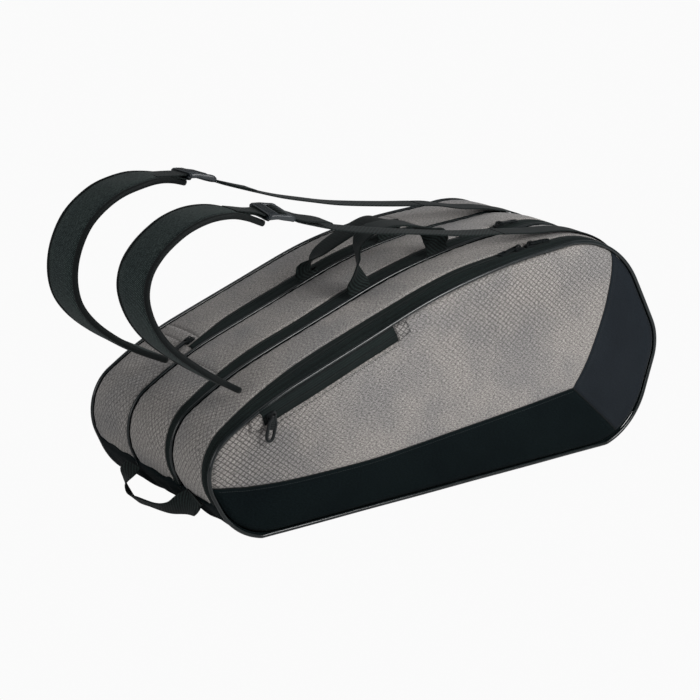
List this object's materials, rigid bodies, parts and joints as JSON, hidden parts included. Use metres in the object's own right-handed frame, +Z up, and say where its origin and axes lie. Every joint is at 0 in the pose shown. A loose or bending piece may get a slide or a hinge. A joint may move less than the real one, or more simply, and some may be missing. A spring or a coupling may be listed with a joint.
{
  "type": "racket tournament bag",
  "caption": "Soft racket tournament bag with three zipped compartments side by side, side pocket, two carry handles, two padded backpack straps and a grab loop.",
  "frame": {"origin": "middle of the flat underside, on the floor", "axes": "+X along the bag to its tall end, -Y the side with the pocket, +Z up"},
  "size_m": [0.8466, 0.3175, 0.4539],
  "materials": {
    "grey_ripstop": "woven polyester with a diamond grid, matt",
    "black_canvas": "coated polyester, soft sheen",
    "navy_canvas": "coated polyester, matt",
    "lining": "plain nylon, matt",
    "board": "matt",
    "piping": "vinyl, glossy",
    "zip_tape": "woven tape, matt",
    "slider_metal": "black, satin",
    "pull_plastic": "matt",
    "webbing": "ribbed webbing, matt",
    "pad_fabric": "air mesh over foam, matt",
    "binding": "bias tape, soft sheen",
    "lock_plastic": "satin"
  },
  "bodies": {
    "shell": {"base_tray": "black_canvas", "base_board": "board", "front_gusset": "grey_ripstop", "mid_gusset_low_end": "grey_ripstop", "mid_gusset_tall_end": "grey_ripstop", "rear_gusset_low_end": "grey_ripstop", "rear_gusset_tall_end": "grey_ripstop", "front_divider": "lining", "rear_divider": "lining", "far_panel": "black_canvas", "far_piping": "piping", "front_seam_piping": "piping", "rear_seam_piping": "piping", "zip_front_tape_far": "zip_tape", "zip_mid_tape_near": "zip_tape", "zip_mid_tape_ends": "zip_tape", "zip_rear_tape_near": "zip_tape", "zip_rear_tape_end": "zip_tape", "near_strap_end": "webbing", "far_strap_end": "webbing"},
    "near_cover": {"near_panel": "grey_ripstop", "near_lower_panel": "black_canvas", "near_end_panel": "navy_canvas", "near_piping": "piping", "zip_front_tape_near": "zip_tape", "pocket_zip_tape": "zip_tape", "pocket_corner_patches": "grey_ripstop"},
    "mid_flap": {"mid_gusset_top": "grey_ripstop", "zip_mid_tape_far": "zip_tape"},
    "rear_flap": {"rear_gusset_top": "grey_ripstop", "zip_rear_tape_far": "zip_tape"},
    "front_slider_a": {"zip_front_slider_a": "slider_metal"},
    "front_pull_a": {"zip_front_pull_a": "pull_plastic"},
    "front_slider_b": {"zip_front_slider_b": "slider_metal"},
    "front_pull_b": {"zip_front_pull_b": "pull_plastic"},
    "mid_slider": {"zip_mid_slider": "slider_metal"},
    "mid_pull": {"zip_mid_pull": "pull_plastic"},
    "rear_slider": {"zip_rear_slider": "slider_metal"},
    "rear_pull": {"zip_rear_pull": "pull_plastic"},
    "pocket_slider": {"pocket_slider": "slider_metal"},
    "pocket_pull": {"pocket_pull": "pull_plastic"},
    "near_handle": {"handle_near": "webbing"},
    "far_handle": {"handle_far": "webbing"},
    "near_strap": {"near_strap_pad": "pad_fabric", "near_strap_binding": "binding", "near_strap_tab": "webbing", "near_strap_lock": "lock_plastic", "near_strap_webbing": "webbing"},
    "far_strap": {"far_strap_pad": "pad_fabric", "far_strap_binding": "binding", "far_strap_tab": "webbing", "far_strap_lock": "lock_plastic", "far_strap_webbing": "webbing"},
    "grab_loop": {"grab_loop": "webbing"}
  },
  "joints": [
    {"name": "cover_open", "type": "hinge", "parent": "shell", "child": "near_cover", "pos_m": [0, -0.145, 0.0027], "axis": [1, 0, 0], "range_deg": [0, 75]},
    {"name": "mid_flap_lift", "type": "hinge", "parent": "shell", "child": "mid_flap", "pos_m": [-0.29752, 0.0445, 0.202], "axis": [-0.9592, 0, -0.2826], "range_deg": [0, 50]},
    {"name": "rear_flap_lift", "type": "hinge", "parent": "shell", "child": "rear_flap", "pos_m": [-0.25916, 0.1422, 0.21658], "axis": [-0.9628, 0, -0.2701], "range_deg": [0, 50]},
    {"name": "front_slider_a_run", "type": "hinge", "parent": "near_cover", "child": "front_slider_a", "pos_m": [0.22458, -0.1255, -0.60421], "axis": [0, 1, 0], "range_deg": [-11.52, 0]},
    {"name": "front_pull_a_turn", "type": "hinge", "parent": "front_slider_a", "child": "front_pull_a", "pos_m": [0.13941, -0.1255, 0.31103], "axis": [0, 1, 0], "range_deg": [0, 150]},
    {"name": "front_slider_b_run", "type": "slide", "parent": "near_cover", "child": "front_slider_b", "axis": [0.9969, 0, 0.0782], "range_m": [0, 0.025]},
    {"name": "front_pull_b_turn", "type": "hinge", "parent": "front_slider_b", "child": "front_pull_b", "pos_m": [0.15955, -0.1255, 0.31294], "axis": [0, 1, 0], "range_deg": [-150, 0]},
    {"name": "mid_slider_run", "type": "hinge", "parent": "shell", "child": "mid_slider", "pos_m": [0.19857, -0.0401, -0.53657], "axis": [0, 1, 0], "range_deg": [-14.76, 0]},
    {"name": "mid_pull_turn", "type": "hinge", "parent": "mid_slider", "child": "mid_pull", "pos_m": [0.17569, -0.0401, 0.31988], "axis": [0, 1, 0], "range_deg": [-150, 0]},
    {"name": "rear_slider_run", "type": "hinge", "parent": "shell", "child": "rear_slider", "pos_m": [0.41, 0.0653, -1.4088], "axis": [0, -1, 0], "range_deg": [-10.49, 0]},
    {"name": "rear_pull_turn", "type": "hinge", "parent": "rear_slider", "child": "rear_pull", "pos_m": [-0.26716, 0.0653, 0.20914], "axis": [0, 1, 0], "range_deg": [0, 150]},
    {"name": "pocket_slider_run", "type": "slide", "parent": "near_cover", "child": "pocket_slider", "axis": [0.9455, 0, 0.3256], "range_m": [0, 0.19]},
    {"name": "pocket_pull_turn", "type": "hinge", "parent": "pocket_slider", "child": "pocket_pull", "pos_m": [-0.28465, -0.15788, 0.16591], "axis": [-0.9455, 0, -0.3256], "range_deg": [0, 120]},
    {"name": "near_handle_swing", "type": "hinge", "parent": "shell", "child": "near_handle", "pos_m": [-0.074, -0.057, 0.27211], "axis": [-0.9696, 0, -0.2446], "range_deg": [-20, 45]},
    {"name": "far_handle_swing", "type": "hinge", "parent": "shell", "child": "far_handle", "pos_m": [-0.084, 0.047, 0.26872], "axis": [-0.9677, 0, -0.2522], "range_deg": [-20, 30]},
    {"name": "near_strap_swing", "type": "hinge", "parent": "shell", "child": "near_strap", "pos_m": [-0.305, -0.12, 0.189], "axis": [0.9482, 0, 0.3176], "range_deg": [0, 55]},
    {"name": "far_strap_swing", "type": "hinge", "parent": "shell", "child": "far_strap", "pos_m": [-0.313, 0.063, 0.189], "axis": [0.936, 0, 0.3521], "range_deg": [-60, 0]},
    {"name": "grab_loop_swing", "type": "hinge", "parent": "shell", "child": "grab_loop", "pos_m": [-0.366, -0.017, 0.0575], "axis": [-0.0075, 0.9999, 0.0075], "range_deg": [0, 80]}
  ]
}
